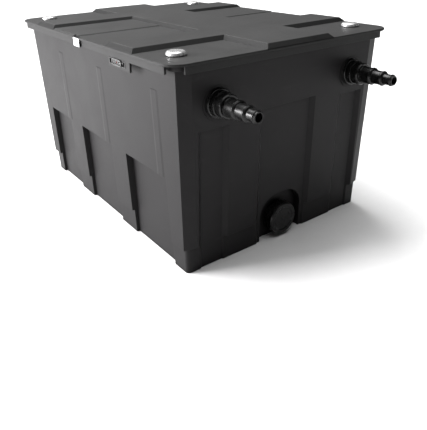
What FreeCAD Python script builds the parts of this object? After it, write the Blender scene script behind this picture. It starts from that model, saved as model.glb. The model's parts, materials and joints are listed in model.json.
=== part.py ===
import FreeCAD, Part
import math
import os

import Sketcher

# A gravity-fed box filter for a garden pond. Frame: +X across the short side, -Y through the inlet end,
# +Z up, origin at the middle of the tub's underside. All sizes are in millimetres.

SIZES = {
    # lid
    "lid_half_width": 292,
    "lid_half_length": 390,
    "lid_corner": 40,
    "lid_pad_top": 441,
    "lid_relief": 9,
    "lid_sheet": 4,
    "lid_lip_reach": 4.5,
    "lid_lip_height": 5,
    "skirt_bottom": 421,
    "spine_half": 91,
    "spine_shift": 11,
    "bar_centre": 199,
    "bar_half": 56,
    "relief_taper": 46,
    "fold_step": 2,
    "tab_drop": 19,
    "tab_start": 144,
    "tab_end": 236,
    "window_start": 150,
    "window_end": 218,
    "window_bottom": 407.5,
    "window_height": 12.5,
    "notch_width": 34,
    "notch_depth": 32,
    # tub
    "rim_top": 433,
    "rim_thickness": 8,
    "rim_reach": 5.5,
    "rim_corner": 26,
    "tub_half_width": 269.5,
    "tub_half_length": 374,
    "tub_corner": 9,
    "tub_wall": 5,
    "tub_floor": 6,
    "wall_slope": 0.026,
    "end_slope": 0.042,
    "base_height": 57,
    "base_inset": 5.3,
    "cut_reach": 30,
    "long_panel_top": 200,
    "long_panel_depth": 12,
    "long_panel_ramp": 0.22,
    "long_panel_lean": 0.6,
    "end_panel_centre": 191.5,
    "end_panel_half": 36.5,
    "end_panel_top": 305,
    "end_panel_depth": 8,
    "end_panel_ramp": 1.35,
    "middle_panel_half": 78,
    "middle_panel_top": 318,
    "bevel_start": 230,
    "bevel_ratio": 0.285,
    "arch_half_width": 60,
    "arch_height": 108,
    "arch_corner": 48,
    "arch_depth": 17.4,
    "rib_offset": 65,
    "rib_half": 8,
    "rib_height": 0.7,
    "rib_root": 0.3,
    "rib_ramp": 8.5,
    "rib_top": 377,
    "guide_reach": 9,
    "guide_sheet": 4,
    "ledge_thickness": 6,
    # inlets
    "inlet_offset": 183,
    "inlet_height": 354,
    "inlet_face": 372.4,
    "inlet_boss_radius": 34,
    "inlet_boss_length": 9,
    "inlet_bore_radius": 21,
    "inlet_flange_radius": 29,
    "seal_thickness": 2,
    "flange_thickness": 5,
    "spigot_end": 15,
    "spigot_radius": 22,
    "nut_radius": 25.5,
    "nut_waist_radius": 23.5,
    "nut_nose_radius": 21.8,
    "nut_shoulder": 17,
    "nut_end": 35,
    "tail_body_radius": 18.1,
    "tail_body_end": 36,
    "tail_step_1": 17.6,
    "tail_step_2": 14.8,
    "tail_step_3": 11.4,
    "tail_end_1": 63,
    "tail_end_2": 89,
    "tail_end_3": 110,
    "tail_ridge": 1.1,
    "tail_ridge_length": 2,
    "tail_bore_radius": 8.4,
    "tail_mouth_radius": 14,
    # screws
    "screw_offset_width": 235,
    "screw_offset_length": 318,
    "screw_head_radius": 19,
    "screw_head_height": 7,
    "screw_shank_radius": 4,
    "screw_bore_radius": 4.08,
    "screw_length": 26,
    "screw_lift": 1.7,
    "insert_radius": 7,
    "insert_length": 18,
    "boss_radius": 12,
    # clips
    "clip_y": 4,
    "clip_axis_x": 289.4,
    "clip_axis_z": 438,
    "clip_width": 30,
    "clip_reach": 8,
    "clip_sheet": 1.6,
    "clip_hook": 7,
    "clip_drop": 2,
    "clip_barrel_radius": 2.8,
    "clip_pin_radius": 1.2,
    "clip_pin_length": 42,
    # drain
    "drain_height": 44,
    "drain_bore_radius": 27,
    "drain_cap_radius": 37.5,
    # outlet
    "outlet_height": 300,
    "outlet_face": 371,
    "outlet_boss_radius": 54,
    "outlet_boss_length": 10,
    "outlet_bore_radius": 36,
    "outlet_pipe_radius": 37.5,
    "riser_radius": 33,
    "riser_sheet": 3,
    "riser_bend_radius": 39,
    "riser_bottom": 70,
    "riser_setback": 58,
    # inner parts
    "partition_y": 116,
    "partition_thickness": 6,
    "grid_height": 52,
    "grid_thickness": 6,
    "grid_half_x": 222,
    "slot_half": 7,
    "slot_reach": 44,
    "slot_span": 396,
    "foam_width": 206,
    "foam_depth": 98,
    "foam_height": 232,
    "foam_pitch_x": 216,
    "foam_pitch_y": 106,
    "carrier_plate": 4,
    "carrier_half_x": 65,
    "carrier_half_y": 35,
    "loop_half": 48,
    "loop_thickness": 14,
    "loop_height": 34,
    "loop_corner": 12,
    "finger_half": 36,
    "finger_height": 16,
    "finger_start": 7,
    "washer_radius": 24,
    "washer_height": 4,
    "foam_corner": 8,
    "rod_radius": 6,
    "rod_length": 272,
    "basket_half_x": 214,
    "basket_half_y": 68,
    "basket_y": 195,
    "basket_bottom": 60,
    "basket_height": 220,
    "basket_sheet": 4,
    "basket_corner": 10,
    "basket_leg": 24,
    "basket_leg_inset": 22,
    "window_width": 12,
    "window_pitch": 24,
    "window_tall": 34,
    "window_rise": 46,
    "window_floor": 10,
    "window_margin": 12,
    "window_sill": 16,
    "mat_height": 38,
    "ball_radius": 20.5,
    "ball_pitch_x": 46,
}

# middle and width along Y of the three recesses in each long side
LONG_PANELS = ((-220, 168), (18, 168), (242, 136))
ROWS = (("front", -1), ("rear", 1))
SIDES = (("left", -1), ("right", 1))
OUTWARD_FRONT = ((1, 0, 0), 90)
OUTWARD_REAR = ((1, 0, 0), -90)
PLAY = 0.3

doc = FreeCAD.newDocument("pond_filter")
sizes = doc.addObject("Spreadsheet::Sheet", "sizes")
for row, (alias, number) in enumerate(SIZES.items(), start=1):
    sizes.set(f"A{row}", alias)
    sizes.set(f"B{row}", str(number))
    sizes.setAlias(f"B{row}", alias)
doc.recompute()

nodes = []


# ---------------------------------------------------------------- helpers

def value(expression):
    """Number that an expression over the sheet gives."""
    result = sizes.evalExpression(str(expression))
    return float(getattr(result, "Value", result))


def bind(target, **expressions):
    """Bind properties of an object to expressions over the sheet."""
    for name, expression in expressions.items():
        target.setExpression(name, str(expression))


def place(target, x="0", y="0", z="0", axis=(0, 0, 1), angle=0):
    """Give an object a placement whose position follows the sheet."""
    rotation = FreeCAD.Rotation(FreeCAD.Vector(*axis), angle)
    target.Placement = FreeCAD.Placement(FreeCAD.Vector(value(x), value(y), value(z)), rotation)
    for letter, expression in (("x", x), ("y", y), ("z", z)):
        target.setExpression(f"Placement.Base.{letter}", str(expression))


def node(target, label):
    """Name a finished sub-part and list it for export."""
    target.Label = label
    nodes.append(target)
    return target


def new_body():
    return doc.addObject("PartDesign::Body", "body")


def sketch_in(body, role="XY_Plane", offset="0"):
    """Sketch on one of the body's own origin planes, moved along the plane's normal."""
    sketch = body.newObject("Sketcher::SketchObject", "sketch")
    plane = [item for item in body.Origin.OriginFeatures if item.Role == role][0]
    sketch.AttachmentSupport = (plane, "")
    sketch.MapMode = "FlatFace"
    sketch.AttachmentOffset = FreeCAD.Placement(FreeCAD.Vector(0, 0, value(offset)), FreeCAD.Rotation())
    sketch.setExpression("AttachmentOffset.Base.z", str(offset))
    return sketch


def loose_sketch():
    """Sketch in the XY plane that belongs to no body, for sheared extrusions."""
    return doc.addObject("Sketcher::SketchObject", "plan")


def outline(sketch, points):
    """Closed polygon whose corners follow pairs of expressions."""
    corners = [FreeCAD.Vector(value(x), value(y), 0) for x, y in points]
    first = sketch.GeometryCount
    count = len(corners)
    lines = [Part.LineSegment(corners[i], corners[(i + 1) % count]) for i in range(count)]
    sketch.addGeometry(lines, False)
    joins = [Sketcher.Constraint("Coincident", first + i, 2, first + (i + 1) % count, 1)
             for i in range(count)]
    sketch.addConstraint(joins)
    for i, (x, y) in enumerate(points):
        for kind, expression in (("DistanceX", x), ("DistanceY", y)):
            index = sketch.addConstraint(Sketcher.Constraint(kind, first + i, 1, value(expression)))
            sketch.setExpression(f"Constraints[{index}]", str(expression))


def rectangle(sketch, half_x, half_y, x="0", y="0"):
    outline(sketch, [
        (f"{x} - ({half_x})", f"{y} - ({half_y})"),
        (f"{x} + ({half_x})", f"{y} - ({half_y})"),
        (f"{x} + ({half_x})", f"{y} + ({half_y})"),
        (f"{x} - ({half_x})", f"{y} + ({half_y})"),
    ])


def circle(sketch, radius, x="0", y="0"):
    centre = FreeCAD.Vector(value(x), value(y), 0)
    index = sketch.addGeometry(Part.Circle(centre, FreeCAD.Vector(0, 0, 1), value(radius)), False)
    for kind, arguments, expression in (("DistanceX", (index, 3), x), ("DistanceY", (index, 3), y),
                                        ("Radius", (index,), radius)):
        constraint = sketch.addConstraint(Sketcher.Constraint(kind, *arguments, value(expression)))
        sketch.setExpression(f"Constraints[{constraint}]", str(expression))


def slot(sketch, half_length, radius, x="0", y="0"):
    """Outline with straight long sides and round ends."""
    reach = f"(({half_length}) - ({radius}))"
    middle = FreeCAD.Vector(value(x), value(y), 0)
    run = FreeCAD.Vector(value(reach), 0, 0)
    up = FreeCAD.Vector(0, value(radius), 0)
    first = sketch.GeometryCount
    arcs = []
    for sign, start in ((1, -math.pi / 2), (-1, math.pi / 2)):
        round_end = Part.Circle(middle + run * sign, FreeCAD.Vector(0, 0, 1), value(radius))
        arcs.append(Part.ArcOfCircle(round_end, start, start + math.pi))
    top = Part.LineSegment(middle + run + up, middle - run + up)
    bottom = Part.LineSegment(middle - run - up, middle + run - up)
    sketch.addGeometry([arcs[0], top, arcs[1], bottom], False)
    joins = [Sketcher.Constraint("Tangent", first + i, 2, first + (i + 1) % 4, 1) for i in range(4)]
    sketch.addConstraint(joins)
    for arc, centre in ((first, f"{x} + {reach}"), (first + 2, f"{x} - {reach}")):
        index = sketch.addConstraint(Sketcher.Constraint("DistanceX", arc, 3, value(centre)))
        sketch.setExpression(f"Constraints[{index}]", centre)
    for kind, arguments, expression in (("DistanceY", (first, 3), y), ("Radius", (first,), radius)):
        index = sketch.addConstraint(Sketcher.Constraint(kind, *arguments, value(expression)))
        sketch.setExpression(f"Constraints[{index}]", str(expression))
    sketch.addConstraint(Sketcher.Constraint("Horizontal", first + 1))


def pad(body, sketch, height, down=False, taper=None):
    feature = body.newObject("PartDesign::Pad", "pad")
    feature.Profile = sketch
    bind(feature, Length=height)
    feature.Reversed = down
    if taper is not None:
        bind(feature, TaperAngle=taper)
    return feature


def pocket(body, sketch, depth, up=False):
    """Cut a sketch's outline into the body and make sure that something was removed."""
    doc.recompute()
    before = body.Shape.Volume
    feature = body.newObject("PartDesign::Pocket", "pocket")
    feature.Profile = sketch
    bind(feature, Length=depth)
    feature.Reversed = up
    doc.recompute()
    if not body.Shape.Volume < before - 1e-3:
        raise RuntimeError(f"{feature.Name} cuts nothing")
    return feature


def edge_names(shape, wanted):
    """Names of the edges that a test on the edge accepts."""
    return [f"Edge{i}" for i, edge in enumerate(shape.Edges, start=1) if wanted(edge)]


def steep(edge):
    """True for a straight edge that runs mostly up and down."""
    if edge.Curve.TypeId != "Part::GeomLine":
        return False
    direction = edge.tangentAt(edge.FirstParameter)
    return abs(direction.z) > 0.9


def fillet(body, base, names, radius):
    feature = body.newObject("PartDesign::Fillet", "fillet")
    feature.Base = (base, names)
    bind(feature, Radius=radius)
    doc.recompute()
    return feature


def part_fillet(base, wanted, radius):
    """Round the edges of a Part object that a test accepts."""
    doc.recompute()
    feature = doc.addObject("Part::Fillet", "rounded")
    feature.Base = base
    size = value(radius)
    feature.Edges = [(i, size, size) for i, edge in enumerate(base.Shape.Edges, start=1) if wanted(edge)]
    doc.recompute()
    return feature


def turned(points):
    """Body of revolution about its own Z axis from pairs (radius, height)."""
    body = new_body()
    sketch = sketch_in(body, "XZ_Plane")
    outline(sketch, points)
    feature = body.newObject("PartDesign::Revolution", "revolution")
    feature.Profile = sketch
    feature.ReferenceAxis = (sketch, ["V_Axis"])
    feature.Angle = 360
    return body


def box(length, width, height, x="0", y="0", z="0"):
    """Box whose lowest corner is at x, y, z."""
    block = doc.addObject("Part::Box", "box")
    bind(block, Length=length, Width=width, Height=height)
    place(block, x, y, z)
    return block


def cylinder(radius, height, x="0", y="0", z="0", axis=(0, 0, 1), angle=0):
    rod = doc.addObject("Part::Cylinder", "cylinder")
    bind(rod, Radius=radius, Height=height)
    place(rod, x, y, z, axis, angle)
    return rod


def cut(base, tool):
    result = doc.addObject("Part::Cut", "cut")
    result.Base = base
    result.Tool = tool
    return result


def fuse(shapes):
    result = doc.addObject("Part::MultiFuse", "fuse")
    result.Shapes = shapes
    return result


def group(shapes):
    """Separate solids of one node."""
    result = doc.addObject("Part::Compound", "group")
    result.Links = shapes
    return result


def sheared(points, bottom, top, lean_x=0.0, lean_y=0.0):
    """Prism on an outline drawn at the height bottom that moves sideways as it rises to top."""
    sketch = loose_sketch()
    outline(sketch, points)
    place(sketch, z=bottom)
    prism = doc.addObject("Part::Extrusion", "prism")
    prism.Base = sketch
    prism.DirMode = "Custom"
    prism.Dir = FreeCAD.Vector(lean_x, lean_y, 1)
    bind(prism, LengthFwd=f"({top} - ({bottom})) * {math.sqrt(1 + lean_x ** 2 + lean_y ** 2):.9f}")
    prism.Solid = True
    return prism


def wall_at(half_size, height):
    """Expression for a wall's distance from the middle plane at a height."""
    slope = {"tub_half_width": "wall_slope", "tub_half_length": "end_slope"}[half_size]
    return f"(sizes.{half_size} - (sizes.rim_top - ({height})) * sizes.{slope})"


def tapered_block(bottom, top, inset, corner):
    """Rounded block between two heights that keeps an inset from the sloping outer wall."""
    wedge = doc.addObject("Part::Wedge", "wedge")
    bind(wedge, Ymin=bottom, Ymax=top)
    for height, low_x, high_x, low_z, high_z in ((bottom, "Xmin", "Xmax", "Zmin", "Zmax"),
                                                 (top, "X2min", "X2max", "Z2min", "Z2max")):
        half_x = f"({wall_at('tub_half_width', height)} - ({inset}))"
        half_y = f"({wall_at('tub_half_length', height)} - ({inset}))"
        bind(wedge, **{low_x: f"-{half_x}", high_x: half_x, low_z: f"-{half_y}", high_z: half_y})
    place(wedge, axis=(1, 0, 0), angle=90)
    return part_fillet(wedge, steep, corner)


# ---------------------------------------------------------------- tub

def recess_points(side, wall, depth, centre, half, ramp, grow):
    """Corners (distance from the middle plane, place along the wall) of one recess.

    The flanks keep their angle outwards past the wall, so a shallower recess is a narrower one.
    """
    deep = f"{side} * ({wall} - {depth} - {grow})"
    out = f"{side} * ({wall} + sizes.cut_reach)"
    inner_half = f"({half} - {depth} * {ramp} + {grow} / 2)"
    outer_half = f"({inner_half} + ({depth} + {grow} + sizes.cut_reach) * {ramp})"
    return [
        (out, f"{centre} - {outer_half}"),
        (deep, f"{centre} - {inner_half}"),
        (deep, f"{centre} + {inner_half}"),
        (out, f"{centre} + {outer_half}"),
    ]


def long_panels(grow):
    """Three recesses on each long side whose floors lean less than the wall."""
    lean = value("sizes.wall_slope * sizes.long_panel_lean")
    wall = wall_at("tub_half_width", "0")
    prisms = []
    for side in (-1, 1):
        for centre, width in LONG_PANELS:
            points = recess_points(side, wall, "sizes.long_panel_depth", str(centre), f"{width} / 2",
                                   "sizes.long_panel_ramp", grow)
            prisms.append(sheared(points, "-1", f"sizes.long_panel_top + {grow}", lean_x=side * lean))
    return prisms


def end_panels(grow):
    """Recesses of the two short ends and the bevels that run up their corners."""
    lean = value("sizes.end_slope")
    wall = wall_at("tub_half_length", "0")

    def end_recess(end, centre, half, top):
        points = recess_points(end, wall, "sizes.end_panel_depth", centre, half,
                               "sizes.end_panel_ramp", grow)
        return sheared([(x, y) for y, x in points], "-1", f"{top} + {grow}", lean_y=end * lean)

    prisms = [end_recess(-1, "0", "sizes.middle_panel_half", "sizes.middle_panel_top")]
    for end in (-1, 1):
        for side in (-1, 1):
            prisms.append(end_recess(end, f"{side} * sizes.end_panel_centre", "sizes.end_panel_half",
                                     "sizes.end_panel_top"))
            start = f"{side} * sizes.bevel_start"
            far = f"{side} * (sizes.bevel_start + sizes.cut_reach * 2)"
            near_y = f"{end} * ({wall} - {grow})"
            far_y = f"{end} * ({wall} - {grow} - sizes.cut_reach * 2 * sizes.bevel_ratio)"
            out = f"{end} * ({wall} + sizes.cut_reach)"
            prisms.append(sheared([(start, out), (start, near_y), (far, far_y), (far, out)],
                                  "-1", "sizes.rim_top - sizes.rim_thickness",
                                  lean_x=side * value("sizes.wall_slope"), lean_y=end * lean))
    return prisms


def arch(grow, depth):
    """Drain arch: an upright niche with a round-cornered top in the inlet end."""
    body = new_body()
    sketch = sketch_in(body, "XZ_Plane")
    half = f"sizes.arch_half_width + {grow}"
    outline(sketch, [
        (f"-({half})", "-2"),
        (half, "-2"),
        (half, f"sizes.arch_height + {grow}"),
        (f"-({half})", f"sizes.arch_height + {grow}"),
    ])
    niche = pad(body, sketch, f"{depth} + 40")
    doc.recompute()
    tops = edge_names(niche.Shape, lambda edge: abs(edge.tangentAt(edge.FirstParameter).y) > 0.9
                      and edge.BoundBox.ZMin > value("sizes.arch_height") - 1)
    fillet(body, niche, tops, f"sizes.arch_corner + {grow}")
    base_face = f"({wall_at('tub_half_length', '0')} - sizes.base_inset)"
    place(body, y=f"-({base_face} - ({depth}))")
    return body


def ribs():
    """Low upright ribs with soft flanks above the long side panels."""
    wall = wall_at("tub_half_width", "sizes.long_panel_top")
    shapes = []
    for side in (-1, 1):
        crest = f"{side} * ({wall} + sizes.rib_height)"
        foot = f"{side} * ({wall} - sizes.rib_root)"
        inner = f"{side} * ({wall} - sizes.tub_wall / 2)"
        for panel, _ in LONG_PANELS:
            centre = f"({panel} - sizes.rib_offset)"
            half_foot = "(sizes.rib_half + sizes.rib_ramp)"
            shapes.append(sheared([
                (inner, f"{centre} - {half_foot}"),
                (foot, f"{centre} - {half_foot}"),
                (crest, f"{centre} - sizes.rib_half"),
                (crest, f"{centre} + sizes.rib_half"),
                (foot, f"{centre} + {half_foot}"),
                (inner, f"{centre} + {half_foot}"),
            ], "sizes.long_panel_top", "sizes.rib_top", lean_x=side * value("sizes.wall_slope")))
    return shapes


def partition_guides():
    """Pairs of upright guide strips on the long walls that hold the partition walls."""
    bottom = "sizes.base_height + 6"
    wall = wall_at("tub_half_width", bottom)
    shapes = []
    for side in (-1, 1):
        inner = f"{side} * ({wall} - sizes.tub_wall - sizes.guide_reach)"
        outer = f"{side} * ({wall} - sizes.tub_wall / 2)"
        for row in (-1, 1):
            for step in (-1, 1):
                middle = f"({row} * sizes.partition_y + {step} * (sizes.partition_thickness / 2 + 3))"
                half = "sizes.guide_sheet / 2"
                shapes.append(sheared([
                    (inner, f"{middle} - {half}"),
                    (inner, f"{middle} + {half}"),
                    (outer, f"{middle} + {half}"),
                    (outer, f"{middle} - {half}"),
                ], bottom, "sizes.rim_top - 40", lean_x=side * value("sizes.wall_slope")))
    return shapes


def corner_ledges():
    """Triangular ledges in the four inner corners with a boss for a threaded insert."""
    shapes = []
    for _, side, end in corner_places():
        outer_x = f"{side} * (sizes.tub_half_width - sizes.tub_wall / 2)"
        outer_y = f"{end} * (sizes.tub_half_length - sizes.tub_wall / 2)"
        inner_x = f"{side} * (sizes.screw_offset_width - 45)"
        inner_y = f"{end} * (sizes.screw_offset_length - 32)"
        screw_x = f"{side} * sizes.screw_offset_width"
        screw_y = f"{end} * sizes.screw_offset_length"
        shapes.append(sheared([
            (outer_x, outer_y),
            (inner_x, outer_y),
            (inner_x, screw_y),
            (screw_x, inner_y),
            (outer_x, inner_y),
        ], "sizes.rim_top - sizes.ledge_thickness", "sizes.rim_top"))
        boss = "sizes.insert_length + sizes.ledge_thickness"
        shapes.append(cylinder("sizes.boss_radius", boss, screw_x, screw_y, f"sizes.rim_top - ({boss})"))
    return shapes


def rim():
    """Flat flange round the mouth of the tub."""
    body = new_body()
    sketch = sketch_in(body, offset="sizes.rim_top - sizes.rim_thickness")
    rectangle(sketch, "sizes.tub_half_width + sizes.rim_reach", "sizes.tub_half_length + sizes.rim_reach")
    plate = pad(body, sketch, "sizes.rim_thickness")
    doc.recompute()
    fillet(body, plate, edge_names(plate.Shape, steep), "sizes.rim_corner")
    return body


def wall_cylinders(inlet_radius, inlet_length, outlet_radius, outlet_length, start):
    """Cylinders on the axes of the two inlets and the outlet, ending start outside their faces."""
    shapes = [
        cylinder(inlet_radius, inlet_length, f"{side} * sizes.inlet_offset",
                 f"-(sizes.inlet_face + {start} - ({inlet_length}))", "sizes.inlet_height", *OUTWARD_FRONT)
        for side in (-1, 1)
    ]
    shapes.append(cylinder(outlet_radius, outlet_length, "0",
                           f"sizes.outlet_face + {start} - ({outlet_length})", "sizes.outlet_height",
                           *OUTWARD_REAR))
    return shapes


def tub():
    outer = fuse([
        tapered_block("sizes.base_height", "sizes.rim_top", "0", "sizes.tub_corner"),
        tapered_block("0", "sizes.base_height", "sizes.base_inset", "sizes.tub_corner"),
        rim(),
    ])
    recesses = fuse(long_panels("0") + end_panels("0") + [arch("0", "sizes.arch_depth")])
    skin = cut(outer, recesses)

    wall = "sizes.tub_wall"
    hollow = fuse([
        tapered_block("sizes.base_height + sizes.tub_wall", "sizes.rim_top + 1", wall,
                      "sizes.tub_corner - sizes.tub_wall"),
        tapered_block("sizes.tub_floor", "sizes.base_height + sizes.tub_wall",
                      f"{wall} + sizes.base_inset", "sizes.tub_corner - sizes.tub_wall"),
    ])
    grown = fuse(long_panels(wall) + end_panels(wall) + [arch(wall, "sizes.arch_depth + sizes.tub_wall")])
    shell = cut(skin, cut(hollow, grown))

    bosses = wall_cylinders("sizes.inlet_boss_radius", "sizes.inlet_boss_length",
                            "sizes.outlet_boss_radius", "sizes.outlet_boss_length", "0")
    full = fuse([shell] + bosses + ribs() + partition_guides() + corner_ledges())

    holes = wall_cylinders("sizes.inlet_bore_radius", "40", "sizes.outlet_bore_radius", "40", "15")
    holes.append(cylinder("sizes.drain_bore_radius", "60", "0", "-(sizes.tub_half_length - 70)",
                          "sizes.drain_height", *OUTWARD_FRONT))
    for _, side, end in corner_places():
        holes.append(cylinder("sizes.insert_radius", "sizes.insert_length + 1",
                              f"{side} * sizes.screw_offset_width", f"{end} * sizes.screw_offset_length",
                              "sizes.rim_top - sizes.insert_length"))
    return node(cut(full, fuse(holes)), "tub")


# ---------------------------------------------------------------- lid

def rounded_plate(inset, bottom, top, corner):
    """Flat block with the lid's plan outline, less an inset all round."""
    block = box(f"2 * (sizes.lid_half_width - ({inset}))", f"2 * (sizes.lid_half_length - ({inset}))",
                f"{top} - ({bottom})", f"-(sizes.lid_half_width - ({inset}))",
                f"-(sizes.lid_half_length - ({inset}))", bottom)
    return part_fillet(block, steep, corner)


def double_cross(grow, bottom, height):
    """Raised field of the lid: a spine right of the middle, crossed by two bars, with sloping flanks."""
    half_x = f"(sizes.lid_half_width + ({grow}))"
    half_y = f"(sizes.lid_half_length + ({grow}))"
    near = f"(sizes.bar_centre - sizes.bar_half - ({grow}))"
    far = f"(sizes.bar_centre + sizes.bar_half + ({grow}))"

    def flank(side):
        spine = f"(sizes.spine_half + {side} * sizes.spine_shift + ({grow}))"
        return [(spine, f"-{half_y}"), (spine, f"-{far}"), (half_x, f"-{far}"), (half_x, f"-{near}"),
                (spine, f"-{near}"), (spine, near), (half_x, near), (half_x, far), (spine, far),
                (spine, half_y)]

    right = flank(1)
    left = [(f"-{x}", y) for x, y in reversed(flank(-1))]
    body = new_body()
    sketch = sketch_in(body, offset=bottom)
    outline(sketch, right + left)
    pad(body, sketch, height, taper="-sizes.relief_taper")
    return body


def lid_fold():
    """The rear mid field stands a little higher than the front one."""
    body = new_body()
    sketch = sketch_in(body, offset="sizes.lid_pad_top")
    rectangle(sketch, "sizes.lid_half_width - 3", "(sizes.bar_centre - sizes.bar_half + 10) / 2",
              y="(sizes.bar_centre - sizes.bar_half + 10) / 2")
    pad(body, sketch, "sizes.fold_step", taper="-60")
    return body


def skirt_tab():
    """Deeper piece of the left skirt that carries the thermometer."""
    body = new_body()
    outer = "(sizes.lid_half_width - sizes.lid_lip_reach)"
    sketch = sketch_in(body, "YZ_Plane", f"-{outer}")
    outline(sketch, [
        ("-sizes.tab_end", "sizes.skirt_bottom + 2"),
        ("-sizes.tab_end + 1", "sizes.skirt_bottom - sizes.tab_drop"),
        ("-sizes.tab_start - 3", "sizes.skirt_bottom - sizes.tab_drop"),
        ("-sizes.tab_start", "sizes.skirt_bottom + 2"),
    ])
    pad(body, sketch, "sizes.lid_sheet")
    return body


def lid():
    reach = "sizes.lid_lip_reach"
    sheet = "sizes.lid_sheet"
    top = "sizes.lid_pad_top"
    outer = fuse([
        rounded_plate(reach, "sizes.skirt_bottom", f"{top} - 1", "sizes.lid_corner - 4"),
        rounded_plate("0", f"{top} - sizes.lid_lip_height", top, "sizes.lid_corner"),
    ])
    doc.recompute()
    lip_top = value(top)
    outer = part_fillet(outer, lambda edge: edge.BoundBox.ZMin > lip_top - 0.01, "2")
    raised = double_cross("0", top, "sizes.lid_relief")
    doc.recompute()
    crest = value("sizes.lid_pad_top + sizes.lid_relief")
    raised = part_fillet(raised, lambda edge: edge.BoundBox.ZMin > crest - 0.01, "2.5")
    hollow = fuse([
        rounded_plate(f"{reach} + {sheet}", "sizes.skirt_bottom - 1", f"{top} - {sheet}",
                      "sizes.lid_corner - 8"),
        double_cross(f"-{sheet} - {reach}", f"{top} - {sheet} - 0.01", "sizes.lid_relief"),
    ])
    shell = fuse([cut(fuse([outer, raised, lid_fold()]), hollow), skirt_tab()])

    openings = [
        box("20", "sizes.window_end - sizes.window_start", "sizes.window_height",
            "-sizes.lid_half_width - 2", "-sizes.window_end", "sizes.window_bottom"),
    ]
    for _, side in SIDES:
        corner_x = f"{side} * (sizes.lid_half_width - sizes.notch_width / 2 + 2) - sizes.notch_width / 2"
        openings.append(box("sizes.notch_width", "sizes.notch_depth",
                            "sizes.lid_pad_top - sizes.lid_lip_height - sizes.skirt_bottom + 1",
                            corner_x, "-sizes.lid_half_length - 1", "sizes.skirt_bottom - 1"))
        openings.append(box("sizes.clip_reach", "sizes.clip_width + 3", "12",
                            f"{side} * (sizes.clip_axis_x) - sizes.clip_reach / 2",
                            "sizes.clip_y - (sizes.clip_width + 3) / 2", "sizes.clip_axis_z - 6"))
        openings.append(clip_rod(side, "sizes.clip_pin_radius", "sizes.clip_pin_length"))
    for _, side, end in corner_places():
        openings.append(cylinder("sizes.screw_shank_radius + 0.5", "20",
                                 f"{side} * sizes.screw_offset_width",
                                 f"{end} * sizes.screw_offset_length", "sizes.lid_pad_top - 15"))
    return node(cut(shell, fuse(openings)), "lid")


def lid_gasket():
    def block(half_margin, corner, height, drop):
        plate = box(f"2 * (sizes.tub_half_width + {half_margin})",
                    f"2 * (sizes.tub_half_length + {half_margin})", height,
                    f"-(sizes.tub_half_width + {half_margin})",
                    f"-(sizes.tub_half_length + {half_margin})", f"sizes.rim_top - {drop}")
        return part_fillet(plate, steep, corner)

    return node(cut(block("4.5", "25", "3.6", "0"), block("-3", "18", "8", "2")), "lid_gasket")


def corner_places():
    """Names and signs of the four lid screws."""
    return [(f"{row}_{column}", side, end) for row, end in ROWS for column, side in SIDES]


def ring_group(outer, inner, bottom, height):
    """Four equal rings, one under each lid screw, as separate solids."""
    body = new_body()
    sketch = sketch_in(body, offset=bottom)
    for _, side, end in corner_places():
        for radius in (outer, inner):
            circle(sketch, radius, f"{side} * sizes.screw_offset_width",
                   f"{end} * sizes.screw_offset_length")
    pad(body, sketch, height)
    return body


def lid_fasteners():
    node(ring_group("sizes.insert_radius", "sizes.screw_bore_radius",
                    "sizes.rim_top - sizes.insert_length", "sizes.insert_length"), "rim_inserts")
    node(ring_group("sizes.screw_head_radius - 2", "sizes.screw_shank_radius + 0.5",
                    "sizes.lid_pad_top", "sizes.screw_lift - 0.2"), "screw_washers")
    for name, side, end in corner_places():
        body = turned([
            ("0", "-sizes.screw_length"),
            ("sizes.screw_shank_radius - 1", "-sizes.screw_length"),
            ("sizes.screw_shank_radius", "-sizes.screw_length + 1"),
            ("sizes.screw_shank_radius", "0"),
            ("sizes.screw_head_radius", "0"),
            ("sizes.screw_head_radius", "sizes.screw_head_height"),
            ("0", "sizes.screw_head_height"),
        ])
        doc.recompute()
        crown = value("sizes.screw_head_height")
        names = edge_names(body.Shape, lambda edge: edge.BoundBox.ZMin > crown - 0.01
                           and edge.BoundBox.XLength > 1)
        fillet(body, body.Tip, names, "sizes.screw_head_height - 1.6")
        place(body, f"{side} * sizes.screw_offset_width", f"{end} * sizes.screw_offset_length",
              "sizes.lid_pad_top + sizes.screw_lift")
        node(body, f"lid_screw_{name}")


def clip_rod(side, radius, length):
    """Cylinder on the swing axis of a clip, centred on its middle."""
    return cylinder(radius, length, f"{side} * sizes.clip_axis_x", f"sizes.clip_y + ({length}) / 2",
                    "sizes.clip_axis_z", *OUTWARD_FRONT)


def clips():
    """Hinged clips in the lid's long edges, and their pins."""
    pins = []
    for name, side in SIDES:
        width = "sizes.clip_width"
        start_y = f"sizes.clip_y - {width} / 2"
        low = "sizes.skirt_bottom - sizes.clip_drop"
        pins.append(clip_rod(side, "sizes.clip_pin_radius", "sizes.clip_pin_length"))
        outer = f"({side} * (sizes.clip_axis_x + sizes.clip_barrel_radius))"
        inward = 1 if side > 0 else 0
        plate = box("sizes.clip_sheet", width, f"sizes.clip_axis_z - ({low})",
                    f"{outer} - {inward} * sizes.clip_sheet", start_y, low)
        hook = box("sizes.clip_hook", width, "sizes.clip_sheet",
                   f"{outer} - {inward} * sizes.clip_hook", start_y, low)
        body = fuse([clip_rod(side, "sizes.clip_barrel_radius", width), plate, hook])
        lowest = value(low)
        rounded = part_fillet(body, lambda edge: abs(edge.BoundBox.ZMax - lowest) < 0.01
                              and edge.BoundBox.YLength > 20
                              and abs(abs(edge.BoundBox.XMin) - abs(value(outer))) < 0.01, "1.4")
        bore = clip_rod(side, "sizes.clip_pin_radius + 0.08", f"{width} + 4")
        node(cut(rounded, bore), f"lid_clip_{name}")
    node(group(pins), "clip_pins")


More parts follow.
